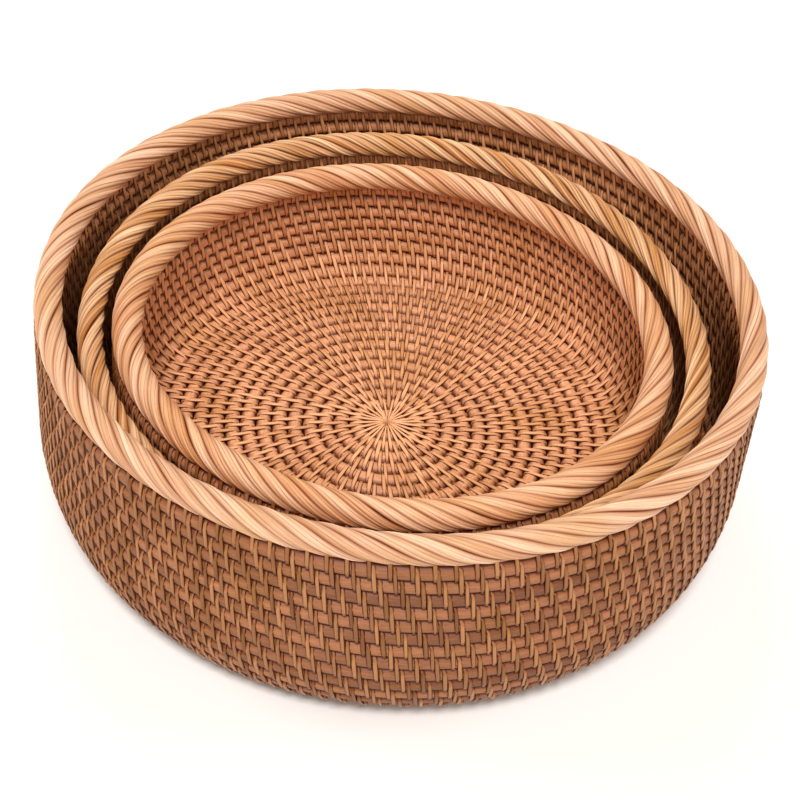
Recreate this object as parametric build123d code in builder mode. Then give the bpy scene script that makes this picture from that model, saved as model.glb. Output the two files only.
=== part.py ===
from build123d import *
import os
from dataclasses import dataclass

os.makedirs("parts", exist_ok=True)

# A nest of three round coiled rattan baskets. Each one is a foundation cane that is coiled from a
# start knot at the middle of the base, out across the base, up round the heel and up the wall.
# Narrow strips bind every row to the row before it. A rope-like rim closes the top: flat splints
# wound slantwise round a core hoop. Millimetres, +Z up, origin under the middle of the outer base.

# Driving dimensions shared by the three baskets
ROW_PITCH = 5.9        # from one row of cane to the next
BOUND_CANE = 6.3       # thickness of a foundation cane with the strips round it
BASE_WEAR = 0.15       # worn off the underside of the base rows, which leaves them flat
NEST_GAP = 0.3         # between the base of one basket and the base below it
SEAM_GAP = 0.05        # between pieces of one basket that lie against each other
CORE_THICKNESS = 5.8   # cane hoop inside the rim
CORE_GAP = 0.1         # between the hoop and the splints wound round it

ROW_RADIUS = BOUND_CANE / 2
BASE_THICKNESS = BOUND_CANE - BASE_WEAR


@dataclass
class Basket:
    name: str
    level: int             # how many baskets lie under it in the nest
    shift: float           # how far it stands off the nest's axis, along X
    rim_height: float      # middle of the rim above the surface that the nest stands on
    rim_radius: float      # to the middle of the rim
    rim_thickness: float
    mouth_radius: float    # outside of the wall just under the rim
    belly_radius: float    # outside of the wall at the top of the heel, where it is widest
    heel_width: float      # how far the outside turns in from the belly to the flat base
    heel_height: float     # how high the turn is

    @property
    def floor(self):
        return self.level * (BASE_THICKNESS + NEST_GAP)

    @property
    def section_plane(self):
        return Plane((self.shift, 0, self.floor), x_dir=(1, 0, 0), z_dir=(0, -1, 0))

    @property
    def axis(self):
        return Axis((self.shift, 0, 0), (0, 0, 1))


BASKETS = [
    Basket("outer", 0, 0.0, 84.9, 125.0, 10.0, 130.4, 132.0, 18.4, 33.6),
    Basket("middle", 1, -1.0, 70.0, 110.3, 9.4, 115.2, 116.4, 17.4, 30.0),
    Basket("inner", 2, -1.6, 67.9, 96.5, 11.0, 102.2, 103.2, 16.4, 26.0),
]


def row_centres(basket):
    """Middles of the rows in the basket's section, base rows, heel rows and wall rows apart."""
    base_line = ROW_RADIUS - BASE_WEAR
    flat_radius = basket.belly_radius - basket.heel_width
    heel_top = base_line + basket.heel_height - ROW_RADIUS
    wall_radius = basket.mouth_radius - ROW_RADIUS
    rim_reach = basket.rim_thickness / 2 + ROW_RADIUS + SEAM_GAP
    side_step = wall_radius - basket.rim_radius
    wall_top = basket.rim_height - basket.floor - (rim_reach**2 - side_step**2) ** 0.5

    with BuildLine() as line:
        base = Line((0, base_line), (flat_radius, base_line))
        heel = EllipticalCenterArc(
            (flat_radius, heel_top),
            basket.heel_width - ROW_RADIUS,
            heel_top - base_line,
            start_angle=270,
            arc_size=90,
        )
        Line(heel @ 1, (wall_radius, wall_top))

    path = line.wire()
    count = round(path.length / ROW_PITCH)
    rows = [path.position_at(k / count) for k in range(1, count + 1)]
    base_rows = [row for row in rows if row.X <= flat_radius and row.Y < heel_top / 2]
    wall_rows = [row for row in rows if row.Y > heel_top]
    heel_rows = [row for row in rows if row not in base_rows and row not in wall_rows]
    return base_rows, heel_rows, wall_rows


def coil_section(rows, row_before=None):
    """Sketch of bound rows that lie against each other, cut back from the row they start on."""
    for row in rows:
        with Locations((row.X, row.Y)):
            Circle(ROW_RADIUS)
    if row_before is not None:
        with Locations((row_before.X, row_before.Y)):
            Circle(ROW_RADIUS + SEAM_GAP, mode=Mode.SUBTRACT)


def wear_underside(radius):
    """Cuts the sketch off at the surface that the base rests on."""
    with Locations((0, -BOUND_CANE / 2)):
        Rectangle(2 * radius, BOUND_CANE, mode=Mode.SUBTRACT)


def save(part, name):
    part.label = name
    export_step(part, f"parts/{name}.step")


for basket in BASKETS:
    base_rows, heel_rows, wall_rows = row_centres(basket)
    reach = 2 * basket.belly_radius

    # The curled tip of the cane, at the middle of the base
    with BuildPart() as start_knot:
        with BuildSketch(basket.section_plane):
            with Locations((0, base_rows[0].Y)):
                Circle(ROW_RADIUS)
            with Locations((base_rows[0].X, base_rows[0].Y)):
                Circle(ROW_RADIUS + SEAM_GAP, mode=Mode.SUBTRACT)
            with Locations((-reach / 2, 0)):
                Rectangle(reach, reach, mode=Mode.SUBTRACT)
            wear_underside(reach)
        revolve(axis=basket.axis)
    save(start_knot.part, f"{basket.name}_start_knot")

    # Flat coil of the base
    with BuildPart() as base_coil:
        with BuildSketch(basket.section_plane):
            coil_section(base_rows)
            wear_underside(reach)
        revolve(axis=basket.axis)
    save(base_coil.part, f"{basket.name}_base_coil")

    # Rows that turn up from the base into the wall
    with BuildPart() as heel_coil:
        with BuildSketch(basket.section_plane):
            coil_section(heel_rows, base_rows[-1])
        revolve(axis=basket.axis)
    save(heel_coil.part, f"{basket.name}_heel_coil")

    # Upright rows of the wall
    with BuildPart() as wall_coil:
        with BuildSketch(basket.section_plane):
            coil_section(wall_rows, heel_rows[-1])
        revolve(axis=basket.axis)
    save(wall_coil.part, f"{basket.name}_wall_coil")

    rim_middle = (basket.rim_radius, basket.rim_height - basket.floor)

    # Hoop of cane inside the rim
    with BuildPart() as rim_core:
        with BuildSketch(basket.section_plane):
            with Locations(rim_middle):
                Circle(CORE_THICKNESS / 2)
        revolve(axis=basket.axis)
    save(rim_core.part, f"{basket.name}_rim_core")

    # Splints wound round the hoop
    with BuildPart() as rim_wrap:
        with BuildSketch(basket.section_plane):
            with Locations(rim_middle):
                Circle(basket.rim_thickness / 2)
                Circle(CORE_THICKNESS / 2 + CORE_GAP, mode=Mode.SUBTRACT)
        revolve(axis=basket.axis)
    save(rim_wrap.part, f"{basket.name}_rim_wrap")

    print(basket.name, len(base_rows), "base,", len(heel_rows), "heel and", len(wall_rows), "wall rows")
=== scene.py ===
import math
import bpy
import numpy as np
from mathutils import Matrix, Vector


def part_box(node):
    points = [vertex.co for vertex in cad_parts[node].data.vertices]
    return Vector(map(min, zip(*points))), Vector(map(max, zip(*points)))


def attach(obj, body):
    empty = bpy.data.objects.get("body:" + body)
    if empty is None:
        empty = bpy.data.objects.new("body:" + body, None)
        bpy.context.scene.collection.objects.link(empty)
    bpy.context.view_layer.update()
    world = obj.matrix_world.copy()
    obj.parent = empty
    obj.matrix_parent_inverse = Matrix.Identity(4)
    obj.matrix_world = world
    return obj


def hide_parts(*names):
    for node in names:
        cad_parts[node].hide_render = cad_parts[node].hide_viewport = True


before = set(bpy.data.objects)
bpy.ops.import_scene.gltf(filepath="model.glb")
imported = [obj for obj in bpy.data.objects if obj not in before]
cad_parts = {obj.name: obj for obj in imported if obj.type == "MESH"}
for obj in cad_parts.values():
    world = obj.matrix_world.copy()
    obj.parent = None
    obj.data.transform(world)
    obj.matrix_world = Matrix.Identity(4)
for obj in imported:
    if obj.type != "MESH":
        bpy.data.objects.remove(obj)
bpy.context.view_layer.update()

# A nest of three coiled rattan baskets. The CAD gives each basket's rows of cane and its rim as plain
# rings. Here every row becomes a cane with its own binding strip, wound round it and the row before,
# and every rim a rope of flat splints. Metres, +Z up, in the frame of the CAD.

MM = 0.001

# ---------------------------------------------------------------- sizes shared by the baskets
ROW_PITCH = 5.9 * MM
BOUND_CANE = 6.3 * MM
BASE_WEAR = 0.15 * MM
SEAM_GAP = 0.05 * MM
ROW_RADIUS = BOUND_CANE / 2
CANE_RADIUS = 2.72 * MM
CANE_FULLNESS = 2.6        # 2 would be a round cane; the cane is packed a little square
CANE_CONTACT = 3.02 * MM   # from the middle of a cane to where it is pressed against the next one
RIM_CONTACT = 3.9 * MM     # and from the top cane to the rim
STRIP_THICKNESS = 0.58 * MM
STAR_STRIPS = 28           # long strips that radiate from the middle of a base
STAR_START = 2.9 * MM      # middle of the turn that a star strip makes round the start knot
RIM_CORE_RADIUS = 2.9 * MM
SPLINT_DEPTH = 0.7 * MM    # from the lowest part of a splint's face to its back
RIM_STEP = 1.6 * MM        # between the points along a splint
CANE_UNEVENNESS = 0.02     # share of its thickness by which a cane swells and thins
OUT_OF_ROUND = 0.7 * MM
OUT_OF_LEVEL = 0.5 * MM
STRIP_SEAT = 0.35          # share of a strip's thickness from the cane to the strip's middle line
STRIP_LOOSENESS = 0.12 * MM
STRIP_WEAR = 0.07 * MM     # most that is worn off a turn where the base stands on the floor
GAP_DIP = 0.10 * MM        # how far a strip is pulled in where it passes between two rows
STAR_SCATTER = 0.035       # how unevenly the star's strips are spread, in radians
STITCH_SCATTER = 0.035     # and the other turns of strip, as a share of the distance between them
FLAT_TOLERANCE = 0.4 * MM  # how much higher than the lowest rows a row of the base may lie
HOOP_STEP = 4 * MM         # between the points along the hoop in the rim
PATCH_SCALE = 38           # of the stains, in patches to a metre, roughly
STAIN_STRENGTH = 0.45
PAINTED_SHADE_START = 0.18           # how far into a crevice the painted shade of the gaps begins
OWN_TONE = 0.45            # the rest of a piece's tone is painted light and shade from the side it is on: paler inside and on top, darker outside and underneath
RIM_SWAY = 0.95            # how much steeper the rims are wound in front and behind, in radians
RIM_LEAD = 1.4             # and on the left than on the right
TUCK = 0.6 * MM            # how far the top row is pulled up under the splints of the rim

# Each basket's own sizes. The rest comes from the boxes of its CAD nodes.
# above: the basket that stands in it and presses its star flat
# mouth_draw: how much the wall draws in from the belly to the mouth
# stitch: distance between the turns of a binding strip on the wall, and base_stitch on the base
# stagger: the step from one row's turns to the next row's
# bundles, splints, turns: the rim's strands, the splints in each, and how often each goes round the hoop
# relief: depth of the grooves between the strands
# lean: how far the basket is out of level, per metre along X and Y
# sag: how far the rim hangs at one side, and the direction of that side, in radians
BASKETS = {
    "outer": dict(
        above="middle",
        mouth_draw=1.6 * MM, heel_width=18.4 * MM, heel_height=33.6 * MM,
        stitch=6.65 * MM, base_stitch=5.8 * MM, strip_width=1.65 * MM, stagger=0.36,
        bundles=6, splints=3, turns=11, relief=0.95 * MM,
        lean=(0.0, 0.0), sag=(0.0, 0.0), seed=11,
    ),
    "middle": dict(
        above="inner",
        mouth_draw=1.2 * MM, heel_width=17.4 * MM, heel_height=30.0 * MM,
        stitch=6.2 * MM, base_stitch=5.4 * MM, strip_width=1.7 * MM, stagger=0.36,
        bundles=6, splints=3, turns=13, relief=1.5 * MM,
        lean=(-0.018, 0.025), sag=(4.2 * MM, -2.4), seed=23,
    ),
    "inner": dict(
        above=None,
        mouth_draw=1.0 * MM, heel_width=16.4 * MM, heel_height=26.0 * MM,
        stitch=5.6 * MM, base_stitch=4.9 * MM, strip_width=1.8 * MM, stagger=0.5,
        bundles=7, splints=3, turns=10, relief=0.85 * MM,
        lean=(-0.012, -0.019), sag=(0.0, 0.0), seed=37,
    ),
}


# ---------------------------------------------------------------- mesh helpers
def ring_quads(rows, columns):
    """Quads of a closed ring of points, rows along the piece and columns round its section."""
    i = np.arange(rows)[:, None]
    j = np.arange(columns)[None, :]
    a = i * columns + j
    b = i * columns + (j + 1) % columns
    c = ((i + 1) % rows) * columns + (j + 1) % columns
    d = ((i + 1) % rows) * columns + j
    return np.stack([a, b, c, d], -1).reshape(-1, 4)


class MeshParts:
    """Collects grids of points, and the surface values that the materials read, into one mesh."""

    def __init__(self):
        self.points, self.quads, self.values = [], [], []
        self.count = 0

    def add(self, points, quads, tone, painted_shade, along, across):
        points = np.asarray(points, float).reshape(-1, 3)
        n = len(points)
        full = np.empty((n, 4))
        for column, value in enumerate((tone, painted_shade, along, across)):
            full[:, column] = np.broadcast_to(np.asarray(value, float).reshape(-1), (n,))
        self.points.append(points)
        self.quads.append(quads + self.count)
        self.values.append(full)
        self.count += n

    def build(self, name, material):
        points = np.concatenate(self.points)
        quads = np.concatenate(self.quads)
        values = np.concatenate(self.values)
        mesh = bpy.data.meshes.new(name)
        mesh.vertices.add(len(points))
        mesh.vertices.foreach_set("co", points.astype(np.float32).ravel())
        mesh.loops.add(quads.size)
        mesh.loops.foreach_set("vertex_index", quads.astype(np.int32).ravel())
        mesh.polygons.add(len(quads))
        mesh.polygons.foreach_set("loop_start", np.arange(0, quads.size, 4, dtype=np.int32))
        mesh.polygons.foreach_set("use_smooth", np.ones(len(quads), bool))
        mesh.update(calc_edges=True)
        mesh.validate()
        surface = mesh.attributes.new("surface", "FLOAT_COLOR", "POINT")
        surface.data.foreach_set("color", values.astype(np.float32).ravel())
        mesh.materials.append(material)
        piece = bpy.data.objects.new(name, mesh)
        bpy.context.scene.collection.objects.link(piece)
        return piece


def slow_wave(rng, angle, size, lowest=2, highest=5):
    """A smooth closed wobble round a basket: waves of random phase, from the lowest to the highest
    number to a round."""
    wave = np.zeros_like(angle)
    for order in range(lowest, highest + 1):
        wave += math.sin(rng.uniform(0, 2 * math.pi) + order) * np.cos(
            order * angle + rng.uniform(0, 2 * math.pi)
        ) / order
    return size * wave


def cane_reach(turned):
    """From the middle of a cane to its surface, in a direction turned from the way to the next row."""
    p = CANE_FULLNESS
    return CANE_RADIUS * (np.abs(np.cos(turned)) ** p + np.abs(np.sin(turned)) ** p) ** (-1 / p)


# ---------------------------------------------------------------- one basket
class Basket:
    def __init__(self, name, sizes):
        self.name = name
        vars(self).update(sizes)
        self.rng = np.random.default_rng(self.seed)
        rim_low, rim_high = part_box(f"{name}_rim_wrap")
        base_low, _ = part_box(f"{name}_base_coil")
        heel_low, heel_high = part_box(f"{name}_heel_coil")
        self.shift = (rim_low.x + rim_high.x) / 2
        self.floor = base_low.z
        self.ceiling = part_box(f"{self.above}_base_coil")[0].z - SEAM_GAP if self.above else math.inf
        self.rim_tube = (rim_high.z - rim_low.z) / 2
        self.rim_radius = (rim_high.x - rim_low.x) / 2 - self.rim_tube
        self.rim_height = (rim_high.z + rim_low.z) / 2 - self.floor
        self.belly = (heel_high.x - heel_low.x) / 2
        self.rows = self.row_centres()
        self.wobble_seed = self.seed * 100 + 1

    def row_centres(self):
        """Middles of the rows in the basket's section, from the centre of the base to the mouth."""
        base_line = ROW_RADIUS - BASE_WEAR
        flat_radius = self.belly - self.heel_width
        heel_top = base_line + self.heel_height - ROW_RADIUS
        wall_radius = self.belly - self.mouth_draw - ROW_RADIUS
        reach = self.rim_tube + ROW_RADIUS + SEAM_GAP
        wall_top = self.rim_height - math.sqrt(reach**2 - (wall_radius - self.rim_radius) ** 2) + TUCK
        turn = np.linspace(0, math.pi / 2, 91)
        heel = np.stack([
            flat_radius + (self.heel_width - ROW_RADIUS) * np.sin(turn),
            heel_top - (heel_top - base_line) * np.cos(turn),
        ], -1)
        path = np.concatenate([[(0, base_line)], heel, [(wall_radius, wall_top)]])
        steps = np.linalg.norm(np.diff(path, axis=0), axis=1)
        length = np.concatenate([[0], np.cumsum(steps)])
        count = round(length[-1] / ROW_PITCH)
        wanted = np.arange(1, count + 1) * length[-1] / count
        return np.stack([np.interp(wanted, length, path[:, i]) for i in (0, 1)], -1)

    def place(self, radius, height, angle):
        """Points of the hand-made basket: its wall and rim are a little out of round and out of level,
        and its base lies flat."""
        rng = np.random.default_rng(self.wobble_seed)
        share = np.clip(radius / self.rim_radius, 0, 1.1)
        radius = radius + slow_wave(rng, angle, OUT_OF_ROUND) * share**2
        rise = np.clip((height - BOUND_CANE) / (self.rim_height - BOUND_CANE), 0, 1.1)
        x = radius * np.cos(angle)
        y = radius * np.sin(angle)
        lean = (self.lean[0] * x + self.lean[1] * y) * rise
        height = height + lean + slow_wave(rng, angle, OUT_OF_LEVEL) * rise
        depth, side = self.sag
        height = height - depth * rise * np.maximum(np.cos(angle - side), 0) ** 2
        return np.stack([x + self.shift, y, height + self.floor], -1)

    # ------------------------------------------------------------ canes
    def add_cane(self, parts, row, sides=16, segment=3.2 * MM):
        radius, height = self.rows[row]
        count = max(24, int(2 * math.pi * radius / segment))
        angle = np.linspace(0, 2 * math.pi, count, endpoint=False)[:, None]
        before = self.rows[row - 1] if row else np.array([0, height])
        after = self.rows[min(row + 1, len(self.rows) - 1)]
        way = after - before
        way_angle = math.atan2(way[1], way[0])
        turned = np.linspace(0, 2 * math.pi, sides, endpoint=False)[None, :]
        side = way_angle + turned
        reach = cane_reach(turned)
        reach[0, 0] = RIM_CONTACT if row == len(self.rows) - 1 else CANE_CONTACT
        reach[0, sides // 2] = CANE_CONTACT
        thickness = reach * (1 + slow_wave(self.rng, angle, CANE_UNEVENNESS, 5, 14))
        points = self.place(
            radius + thickness * np.cos(side), height + thickness * np.sin(side), angle + 0 * side
        )
        # painted shade: darker on the faces that press against the row below and the row or rim above
        painted_shade = np.abs(np.cos(turned)) ** 2.2 + 0 * angle
        tone = self.rng.uniform(0.2, 0.8) + slow_wave(self.rng, angle, 0.25, 2, 9) + 0 * side
        # painted light and shade: the share that is not the cane's own tone makes its inside face paler
        # and its outside face darker; in the base, its top paler and its underside darker
        tone = OWN_TONE * tone + (1 - OWN_TONE) * (0.5 + 0.5 * np.sin(turned))
        along = angle * radius + 0 * side
        across = side * CANE_RADIUS + row * 0.05 + 0 * angle
        parts.add(points, ring_quads(count, sides), tone, painted_shade, along, across)

    # ------------------------------------------------------------ binding strips
    def stitch_angles(self):
        """Where each row's turns of strip start. Every row's turns fall between those of the row
        before it, and as the rows grow, new turns come in where the gaps are widest."""
        rng = self.rng
        circle = 2 * math.pi
        first = np.arange(STAR_STRIPS) * circle / STAR_STRIPS + rng.normal(0, STAR_SCATTER, STAR_STRIPS)
        rows = [np.sort(first)]
        for radius, height in self.rows[1:]:
            stagger = 0.5 if height < BOUND_CANE else self.stagger
            gaps = np.diff(np.append(rows[-1], rows[-1][0] + circle))
            rise = min(1, max(0, height - BOUND_CANE / 2) / self.heel_height)
            stitch = self.base_stitch + (self.stitch - self.base_stitch) * rise
            extra = max(0, round(circle * radius / stitch) - len(gaps))
            widest = np.zeros(len(gaps), bool)
            widest[np.argsort(gaps)[len(gaps) - extra:]] = True
            # one turn in a narrow gap, two in a wide one, and then the distances are evened out
            single = rows[-1][~widest] + gaps[~widest] * (1 - stagger)
            double = [rows[-1][widest] + gaps[widest] * share for share in (0.24, 0.76)]
            new = np.sort(np.concatenate([single, *double]))
            for _ in range(3):
                before = np.append(new[-1] - circle, new[:-1])
                after = np.append(new[1:], new[0] + circle)
                new = 0.6 * new + 0.2 * (before + after)
            scatter = STITCH_SCATTER * self.stitch / radius
            rows.append(np.sort(new + rng.normal(0, scatter, len(new))))
        return rows

    def add_binding(self, parts, lower, upper, upper_radius, starts, star=False):
        """One strip wound round two neighbouring rows, a turn for each start."""
        rng = self.rng
        way = upper - lower
        way = way / np.linalg.norm(way)
        out = np.array([way[1], -way[0]])
        upright = max(0.0, way[1])
        turns = len(starts)
        # a turn goes down the outside, through the gap below, up the inside, and through the gap above
        bend = np.radians([0, 45, 90, 90, 90, 135, 180, 225, 270, 270, 270, 315])
        at_upper = np.array([1, 1, 1, 0.5, 0, 0, 0, 0, 0, 0.5, 1, 1])
        dip = np.array([0, 0, 0, 1, 0, 0, 0, 0, 0, 1, 0, 0]) * GAP_DIP
        # shares of a turn's way round the basket that it makes on the outside, inside and in the gaps
        outside = 0.08 + 0.12 * upright
        inside = 0.16 + 0.28 * upright
        crossing = (1 - outside - inside) / 2
        rise = at_upper * np.linalg.norm(upper - lower) + CANE_RADIUS * np.cos(bend)
        fall = (rise[0] - rise) / (rise[0] - rise[6])
        going_down = np.arange(len(bend)) <= 6
        progress = np.where(
            going_down,
            crossing / 2 + outside * fall,
            crossing * 1.5 + outside + inside * (1 - fall),
        )
        progress[0], progress[6] = 0, outside + crossing
        points_per_turn = len(bend)
        gaps = np.diff(np.append(starts, starts[0] + 2 * math.pi))
        angle = starts[:, None] + gaps[:, None] * progress[None, :]
        cane = np.where(at_upper > 0.5, upper_radius / CANE_RADIUS, 1) * cane_reach(bend)
        lift = rng.uniform(0, STRIP_LOOSENESS, turns)[:, None]
        reach = cane[None, :] + STRIP_THICKNESS * STRIP_SEAT - dip[None, :] + lift
        centre = lower[None, :] + at_upper[:, None] * (upper - lower)[None, :]
        centre = np.broadcast_to(centre[None], (turns, points_per_turn, 2))
        normal = np.cos(bend)[:, None] * way[None, :] + np.sin(bend)[:, None] * out[None, :]
        normal = np.broadcast_to(normal[None], (turns, points_per_turn, 2))

        width = np.full((turns, points_per_turn), self.strip_width)
        width = width * rng.uniform(0.88, 1.12, (turns, 1))
        # a little narrower where it bends over the top of a row or under the bottom of one
        squeeze = np.array([0.86, 0.97, 1, 1, 1, 0.97, 0.86, 0.97, 1, 1, 1, 0.97])
        width = width * squeeze[None, :]
        if star:
            # towards the middle of the base the strips narrow, and they end at uneven distances from it
            inner_end = np.array([0, 0, 0, 0.3, 0.7, 1, 1, 1, 0.7, 0.3, 0, 0])
            width = width * 0.85 * (1 - 0.66 * inner_end[None, :])
            pull = rng.uniform(-0.3, 1.2, turns)[:, None] * MM
            centre = centre.copy()
            centre[..., 0] = centre[..., 0] + pull * inner_end[None, :]
            reach = reach + rng.uniform(0, 0.5, turns)[:, None] * MM * inner_end[None, :]

        section = centre + reach[..., None] * normal
        middle = self.place(section[..., 0], section[..., 1], angle).reshape(-1, 3)
        far = section + normal * MM
        outward = self.place(far[..., 0], far[..., 1], angle).reshape(-1, 3) - middle
        outward /= np.linalg.norm(outward, axis=1)[:, None]
        forward = np.roll(middle, -1, axis=0) - np.roll(middle, 1, axis=0)
        forward /= np.linalg.norm(forward, axis=1)[:, None]
        sideways = np.cross(forward, outward)
        sideways /= np.linalg.norm(sideways, axis=1)[:, None]

        # section of the strip: flat side on the cane, crowned outside
        side = np.array([-0.5, -0.27, 0.27, 0.5])
        crown = np.array([-0.35, 0.5, 0.5, -0.35]) * STRIP_THICKNESS
        points = (
            middle[:, None, :]
            + sideways[:, None, :] * side[None, :, None] * width.reshape(-1)[:, None, None]
            + outward[:, None, :] * crown[None, :, None]
        )
        worn = np.repeat(rng.uniform(0, STRIP_WEAR, turns), points_per_turn)[:, None]
        points[..., 2] = np.maximum(points[..., 2], self.floor + worn)
        if star:
            points[..., 2] = np.minimum(points[..., 2], self.ceiling)
        total = turns * points_per_turn
        quads = ring_quads(total, len(side))
        # painted shade: the strip is darkened where it passes over the top and bottom of a row into the
        # gaps between rows, and along its two edges
        gap_shade = np.abs(np.cos(bend)) ** 2
        shaded_edge = np.array([1.0, 0.1, 0.1, 1.0])
        gap_shade = np.repeat(np.tile(gap_shade, turns), len(side))
        painted_shade = np.maximum(gap_shade, np.tile(shaded_edge, total))
        tone = rng.uniform(0.8, 1, turns) if star else rng.uniform(0, 0.85, turns)
        # painted light and shade: the rest of the strip's tone makes it paler inside and on top, darker
        # outside and underneath
        tone = OWN_TONE * tone[:, None] + (1 - OWN_TONE) * (0.5 - 0.5 * np.sin(bend))[None, :]
        tone = np.repeat(tone.ravel(), len(side))
        turn_length = 2 * np.linalg.norm(upper - lower) + 2 * math.pi * CANE_RADIUS
        along = np.repeat(np.arange(total) * turn_length / points_per_turn, len(side))
        across = np.tile(side * self.strip_width, total) + np.repeat(
            rng.uniform(0, 1, turns), points_per_turn * len(side))
        parts.add(points, quads, tone, painted_shade, along, across)

    # ------------------------------------------------------------ rim
    def add_rim(self, parts):
        """Flat splints wound slantwise round the hoop, in bundles, like the strands of a rope."""
        rng = self.rng
        steps = int(2 * math.pi * self.rim_radius / RIM_STEP)
        angle = np.linspace(0, 2 * math.pi, steps, endpoint=False)
        splints = self.bundles * self.splints
        columns = 5
        across = np.linspace(-0.5, 0.5, columns)
        bundle_wave = [slow_wave(rng, angle, 0.09, 3, 18) for _ in range(self.bundles)]
        bundle_tone = rng.permutation(np.linspace(0, 1, self.bundles))
        for splint in range(splints):
            bundle, place_in_bundle = divmod(splint, self.splints)
            slot_share = (place_in_bundle + 0.5) / self.splints
            width = 2 * math.pi / splints * (1.12 + slow_wave(rng, angle, 0.12, 4, 30))
            drift = slow_wave(rng, angle, 0.05, 3, 22) + bundle_wave[bundle]
            drift = drift + RIM_SWAY * np.sin(2 * angle) + RIM_LEAD * np.sin(angle)
            middle = 2 * math.pi * (bundle + slot_share) / self.bundles - self.turns * angle + drift
            tube = middle[:, None] + across[None, :] * width[:, None]
            share = slot_share + across / self.splints
            bundle_crown = np.sin(math.pi * np.clip(share, 0.04, 0.96)) ** 0.7
            own_crown = 1 - (2 * across) ** 2
            height = (
                self.rim_tube - self.relief
                + self.relief * 0.75 * bundle_crown[None, :]
                + self.relief * 0.25 * own_crown[None, :]
                + slow_wave(rng, angle, 0.16 * MM, 6, 40)[:, None]
                + slow_wave(rng, angle, 0.12 * MM, 6, 40)[:, None] * 2 * across[None, :]
            )
            top = self.place(
                self.rim_radius + height * np.cos(tube),
                self.rim_height + height * np.sin(tube),
                np.broadcast_to(angle[:, None], tube.shape),
            )
            under = self.rim_tube - self.relief - SPLINT_DEPTH
            below = self.place(
                self.rim_radius + under * np.cos(tube[:, [-1, 0]]),
                self.rim_height + under * np.sin(tube[:, [-1, 0]]),
                np.broadcast_to(angle[:, None], (steps, 2)),
            )
            points = np.concatenate([top, below], 1)
            # painted shade: the splints are darkened along their edges, more in some places than others,
            # and in the grooves between the bundles
            edge = np.concatenate([np.abs(2 * across) ** 3, [1, 1]])
            bundle_edge = np.concatenate([1 - bundle_crown, [1, 1]])
            line = np.clip(0.32 + slow_wave(rng, angle, 0.7, 3, 30), 0, 1)
            painted_shade = line[:, None] * edge[None, :] + 0.9 * bundle_edge[None, :]
            painted_shade = np.clip(painted_shade, 0, 1).ravel()
            tone = rng.uniform(0, 0.35) + 0.65 * bundle_tone[bundle]
            tone = tone + slow_wave(rng, angle, 0.35, 3, 40)
            wound = math.hypot(2 * math.pi * self.rim_radius, self.turns * 2 * math.pi * self.rim_tube)
            parts.add(
                points,
                ring_quads(steps, columns + 2),
                np.repeat(tone, columns + 2),
                painted_shade,
                np.repeat(angle / (2 * math.pi) * wound, columns + 2),
                np.tile(np.append(across, [0.5, -0.5]) * 2 * MM, steps) + splint * 0.013,
            )

    def add_hoop(self, parts, sides=12):
        steps = int(2 * math.pi * self.rim_radius / HOOP_STEP)
        angle = np.linspace(0, 2 * math.pi, steps, endpoint=False)[:, None]
        side = np.linspace(0, 2 * math.pi, sides, endpoint=False)[None, :]
        points = self.place(
            self.rim_radius + RIM_CORE_RADIUS * np.cos(side),
            self.rim_height + RIM_CORE_RADIUS * np.sin(side),
            angle + 0 * side,
        )
        along = angle * self.rim_radius + 0 * side
        across = side * RIM_CORE_RADIUS + 0 * angle
        # painted shade: the hoop is darkened about half way to the shade colour where it shows between
        # the splints
        parts.add(points, ring_quads(steps, sides), 0.4, 0.6, along, across)

    # ------------------------------------------------------------ the whole basket
    def build(self, materials):
        name = self.name
        flat = self.rows[:, 1] < BOUND_CANE / 2 + FLAT_TOLERANCE
        upright = self.rows[:, 1] > self.heel_height - BASE_WEAR
        heel = ~flat & ~upright
        starts = self.stitch_angles()
        hoop = np.array([self.rim_radius, self.rim_height])
        last = len(self.rows) - 1
        for part, chosen in (("base", flat), ("heel", heel), ("wall", upright)):
            canes = MeshParts()
            strips = MeshParts()
            for row in np.flatnonzero(chosen):
                self.add_cane(canes, row)
                if row == 0:
                    continue
                if row == 1:
                    knot = np.array([STAR_START, self.rows[0][1]])
                    self.add_binding(strips, knot, self.rows[1], CANE_RADIUS, starts[0], star=True)
                else:
                    lower, upper = self.rows[row - 1], self.rows[row]
                    self.add_binding(strips, lower, upper, CANE_RADIUS, starts[row - 1])
                if row == last:
                    self.add_binding(strips, self.rows[last], hoop, RIM_CORE_RADIUS, starts[last])
            cane_piece = canes.build(f"{name}_{part}_cane", materials["cane_" + name])
            strip_piece = strips.build(f"{name}_{part}_binding", materials["strip_" + name])
            for piece, slot in ((cane_piece, "foundation_cane"), (strip_piece, "binding_strip")):
                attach(piece, name)
            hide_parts(f"{name}_{part}_coil")
            if part == "base":
                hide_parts(f"{name}_start_knot")
        rim = MeshParts()
        self.add_rim(rim)
        rim_piece = rim.build(f"{name}_rim_splints", materials["rim_" + name])
        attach(rim_piece, name)
        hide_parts(f"{name}_rim_wrap")
        core = MeshParts()
        self.add_hoop(core)
        core_piece = core.build(f"{name}_rim_hoop", materials["cane_" + name])
        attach(core_piece, name)
        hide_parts(f"{name}_rim_core")


# ---------------------------------------------------------------- materials
def node(tree, kind, **settings):
    made = tree.nodes.new(kind)
    for key, value in settings.items():
        setattr(made, key, value)
    return made


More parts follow.
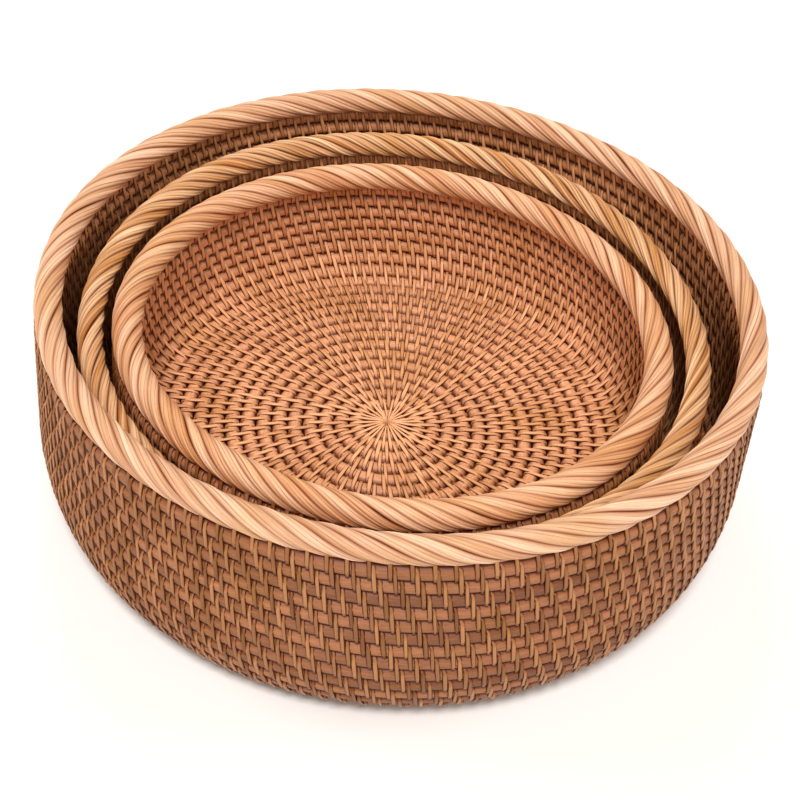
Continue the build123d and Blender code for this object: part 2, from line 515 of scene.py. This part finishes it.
def rattan(name, dark, light, shade_colour, stain, streak_scale, streak_depth, roughness, bump):
    """Rattan that runs along the piece: two tones from piece to piece, with painted light and shade from
    side to side mixed into the tone, fine streaks, painted shade in the gaps, and stained patches.
    streak_scale is how many streaks there are to a metre along and across."""
    material = bpy.data.materials.new(name)
    material.use_nodes = True
    tree = material.node_tree
    shader = tree.nodes["Principled BSDF"]
    surface = node(tree, "ShaderNodeAttribute", attribute_name="surface")
    split = node(tree, "ShaderNodeSeparateColor")
    tree.links.new(surface.outputs["Color"], split.inputs["Color"])
    tone, painted_shade, along = split.outputs
    across = surface.outputs["Alpha"]

    grain = node(tree, "ShaderNodeCombineXYZ")
    stretch_along = node(tree, "ShaderNodeMath", operation="MULTIPLY")
    stretch_along.inputs[1].default_value = streak_scale[0]
    stretch_across = node(tree, "ShaderNodeMath", operation="MULTIPLY")
    stretch_across.inputs[1].default_value = streak_scale[1]
    tree.links.new(along, stretch_along.inputs[0])
    tree.links.new(across, stretch_across.inputs[0])
    tree.links.new(stretch_along.outputs[0], grain.inputs["X"])
    tree.links.new(stretch_across.outputs[0], grain.inputs["Y"])
    streaks = node(tree, "ShaderNodeTexNoise")
    streaks.inputs["Scale"].default_value = 1.0
    streaks.inputs["Detail"].default_value = 5.0
    streaks.inputs["Roughness"].default_value = 0.6
    tree.links.new(grain.outputs[0], streaks.inputs["Vector"])

    pieces = node(tree, "ShaderNodeMix", data_type="RGBA")
    pieces.inputs["A"].default_value = (*dark, 1)
    pieces.inputs["B"].default_value = (*light, 1)
    tree.links.new(tone, pieces.inputs["Factor"])

    coordinates = node(tree, "ShaderNodeTexCoord")
    patches = node(tree, "ShaderNodeTexNoise")
    patches.inputs["Scale"].default_value = PATCH_SCALE
    patches.inputs["Detail"].default_value = 3.0
    tree.links.new(coordinates.outputs["Object"], patches.inputs["Vector"])
    patch_range = node(tree, "ShaderNodeMapRange")
    patch_range.inputs["From Min"].default_value = 0.5
    patch_range.inputs["From Max"].default_value = 0.72
    patch_range.inputs["To Max"].default_value = STAIN_STRENGTH
    tree.links.new(patches.outputs["Fac"], patch_range.inputs["Value"])
    stained = node(tree, "ShaderNodeMix", data_type="RGBA")
    stained.inputs["B"].default_value = (*stain, 1)
    tree.links.new(patch_range.outputs["Result"], stained.inputs["Factor"])
    tree.links.new(pieces.outputs["Result"], stained.inputs["A"])

    streak_range = node(tree, "ShaderNodeMapRange")
    streak_range.inputs["From Min"].default_value = 0.3
    streak_range.inputs["From Max"].default_value = 0.7
    streak_range.inputs["To Min"].default_value = 1 - streak_depth
    streak_range.inputs["To Max"].default_value = 1 + streak_depth * 0.6
    tree.links.new(streaks.outputs["Fac"], streak_range.inputs["Value"])
    shaded = node(tree, "ShaderNodeVectorMath", operation="SCALE")
    tree.links.new(stained.outputs["Result"], shaded.inputs[0])
    tree.links.new(streak_range.outputs["Result"], shaded.inputs["Scale"])

    # painted shade: the colour is mixed toward the shade colour where the surface value marks a gap
    # between parts
    painted_shade_range = node(tree, "ShaderNodeMapRange")
    painted_shade_range.inputs["From Min"].default_value = PAINTED_SHADE_START
    painted_shade_range.inputs["From Max"].default_value = 1.0
    tree.links.new(painted_shade, painted_shade_range.inputs["Value"])
    final = node(tree, "ShaderNodeMix", data_type="RGBA")
    final.inputs["B"].default_value = (*shade_colour, 1)
    tree.links.new(painted_shade_range.outputs["Result"], final.inputs["Factor"])
    tree.links.new(shaded.outputs["Vector"], final.inputs["A"])
    tree.links.new(final.outputs["Result"], shader.inputs["Base Color"])

    rough = node(tree, "ShaderNodeMapRange")
    rough.inputs["To Min"].default_value = roughness - 0.08
    rough.inputs["To Max"].default_value = roughness + 0.12
    tree.links.new(streaks.outputs["Fac"], rough.inputs["Value"])
    tree.links.new(rough.outputs["Result"], shader.inputs["Roughness"])
    shader.inputs["Specular IOR Level"].default_value = 0.35

    relief = node(tree, "ShaderNodeBump")
    relief.inputs["Strength"].default_value = bump
    relief.inputs["Distance"].default_value = 0.15 * MM
    tree.links.new(streaks.outputs["Fac"], relief.inputs["Height"])
    tree.links.new(relief.outputs["Normal"], shader.inputs["Normal"])
    return material


# For each basket: darkest and palest tone, colour of the painted shade in the gaps, and colour of the
# stains
CANE_COLOURS = {
    # The outer basket's cane colours are set darker than the others', partly its own colour and partly
    # painted shade for its shaded front wall.
    "outer": [(0.120, 0.042, 0.019), (0.93, 0.43, 0.21), (0.100, 0.010, 0.001), (0.30, 0.13, 0.030)],
    "middle": [(0.300, 0.115, 0.045), (0.92, 0.44, 0.21), (0.120, 0.013, 0.001), (0.50, 0.23, 0.06)],
    "inner": [(0.280, 0.103, 0.042), (0.90, 0.46, 0.26), (0.130, 0.015, 0.001), (0.52, 0.24, 0.07)],
}
STRIP_COLOURS = {
    # The outer basket's strip colours are set darker than the others', partly its own colour and partly
    # painted shade for its shaded front wall.
    "outer": [(0.230, 0.094, 0.030), (0.96, 0.50, 0.24), (0.110, 0.012, 0.001), (0.42, 0.19, 0.045)],
    "middle": [(0.370, 0.145, 0.045), (0.94, 0.48, 0.22), (0.130, 0.015, 0.001), (0.56, 0.27, 0.08)],
    "inner": [(0.310, 0.113, 0.036), (0.92, 0.50, 0.27), (0.140, 0.017, 0.001), (0.56, 0.27, 0.08)],
}

RIM_COLOURS = {
    "outer": [(0.66, 0.36, 0.200), (0.92, 0.62, 0.430), (0.26, 0.07, 0.015), (0.70, 0.42, 0.19)],
    "middle": [(0.56, 0.25, 0.080), (0.94, 0.64, 0.39), (0.15, 0.028, 0.004), (0.62, 0.33, 0.10)],
    "inner": [(0.68, 0.34, 0.165), (0.94, 0.62, 0.41), (0.26, 0.07, 0.015), (0.72, 0.39, 0.16)],
}

# The colours and the grain of each kind of piece
KINDS = {
    "rim": (RIM_COLOURS, dict(streak_scale=(60, 2600), streak_depth=0.25, roughness=0.42, bump=0.5)),
    "cane": (CANE_COLOURS, dict(streak_scale=(220, 2600), streak_depth=0.30, roughness=0.46, bump=0.5)),
    "strip": (STRIP_COLOURS, dict(streak_scale=(90, 2400), streak_depth=0.16, roughness=0.38, bump=0.3)),
}
materials = {
    f"{kind}_{basket_name}": rattan(f"rattan_{kind}_{basket_name}", *colours[basket_name], **grain)
    for kind, (colours, grain) in KINDS.items()
    for basket_name in BASKETS
}

for basket_name, basket_sizes in BASKETS.items():
    Basket(basket_name, basket_sizes).build(materials)


# ---------------------------------------------------------------- floor, light and camera
LIGHT_TARGET = (0, 0, 0.05)   # a point in the middle of the nest


def make_floor(reach=4.0):
    mesh = bpy.data.meshes.new("floor")
    corners = [(-reach, -reach, 0), (reach, -reach, 0), (reach, reach, 0), (-reach, reach, 0)]
    mesh.from_pydata(corners, [], [(0, 1, 2, 3)])
    floor = bpy.data.objects.new("floor", mesh)
    bpy.context.scene.collection.objects.link(floor)
    material = bpy.data.materials.new("floor_pale")
    material.use_nodes = True
    shader = material.node_tree.nodes["Principled BSDF"]
    shader.inputs["Base Color"].default_value = (0.86, 0.85, 0.83, 1)
    shader.inputs["Roughness"].default_value = 0.9
    mesh.materials.append(material)


def area_light(name, place, size, power):
    light = bpy.data.lights.new(name, "AREA")
    light.shape = "DISK"
    light.size = size
    light.energy = power
    lamp = bpy.data.objects.new(name, light)
    bpy.context.scene.collection.objects.link(lamp)
    lamp.location = place
    towards = Vector(LIGHT_TARGET) - Vector(place)
    lamp.rotation_euler = towards.to_track_quat("-Z", "Y").to_euler()


def sun_light(name, from_way, spread, strength):
    light = bpy.data.lights.new(name, "SUN")
    light.angle = spread
    light.energy = strength
    lamp = bpy.data.objects.new(name, light)
    bpy.context.scene.collection.objects.link(lamp)
    lamp.rotation_euler = Vector(from_way).to_track_quat("Z", "Y").to_euler()


def make_world():
    """A pale backdrop for the camera, and a weak warm light from all sides."""
    world = bpy.data.worlds.new("studio")
    bpy.context.scene.world = world
    world.use_nodes = True
    tree = world.node_tree
    ambient = tree.nodes["Background"]
    ambient.inputs["Color"].default_value = (1.0, 0.80, 0.64, 1)
    ambient.inputs["Strength"].default_value = 0.22
    backdrop = node(tree, "ShaderNodeBackground")
    backdrop.inputs["Color"].default_value = (0.90, 0.89, 0.87, 1)
    path = node(tree, "ShaderNodeLightPath")
    choice = node(tree, "ShaderNodeMixShader")
    tree.links.new(path.outputs["Is Camera Ray"], choice.inputs[0])
    tree.links.new(ambient.outputs[0], choice.inputs[1])
    tree.links.new(backdrop.outputs[0], choice.inputs[2])
    tree.links.new(choice.outputs[0], tree.nodes["World Output"].inputs["Surface"])


# Where the photographer stood, fitted to the rims: a little over half a metre away, looking down
CAMERA_DISTANCE = 0.5567
CAMERA_ELEVATION, CAMERA_YAW, CAMERA_EXTRA_PITCH, CAMERA_ROLL = 38.48, 0.32, 4.09, 5.84   # degrees
SENSOR_WIDTH, LENS = 36, 69.78   # mm


def make_camera():
    elevation, distance = math.radians(CAMERA_ELEVATION), CAMERA_DISTANCE
    yaw, extra_pitch = math.radians(CAMERA_YAW), math.radians(CAMERA_EXTRA_PITCH)
    roll = math.radians(CAMERA_ROLL)
    rim_low, rim_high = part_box("outer_rim_wrap")
    aim = Vector((0, 0, (rim_low.z + rim_high.z) / 2))
    place = aim + distance * Vector((0, -math.cos(elevation), math.sin(elevation)))
    down = elevation + extra_pitch
    forward = Vector((math.sin(yaw) * math.cos(down), math.cos(yaw) * math.cos(down), -math.sin(down)))
    right = forward.cross(Vector((0, 0, 1))).normalized()
    up = right.cross(forward)
    camera_x = math.cos(roll) * right + math.sin(roll) * up
    camera_y = math.cos(roll) * up - math.sin(roll) * right
    data = bpy.data.cameras.new("camera")
    data.sensor_width, data.lens = SENSOR_WIDTH, LENS
    data.clip_start = 0.01
    camera = bpy.data.objects.new("camera", data)
    bpy.context.scene.collection.objects.link(camera)
    axes = Matrix((camera_x, camera_y, -forward)).transposed()
    camera.matrix_world = Matrix.Translation(place) @ axes.to_4x4()
    bpy.context.scene.camera = camera


make_floor()
sun_light("key_light", (-0.05, -0.66, 1.45), spread=0.26, strength=1.98)
area_light("front_light", (0.1, -1.15, 1.15), size=0.7, power=5.6)
area_light("back_light", (-0.25, 0.9, 1.3), size=0.6, power=3.5)
area_light("left_light", (-1.5, 0.2, 0.8), size=0.9, power=5.8)
area_light("right_light", (1.5, 0.2, 0.8), size=0.9, power=5.4)
make_camera()
make_world()
bpy.context.scene.view_settings.view_transform = "Standard"
bpy.context.scene.view_settings.look = "Medium High Contrast"
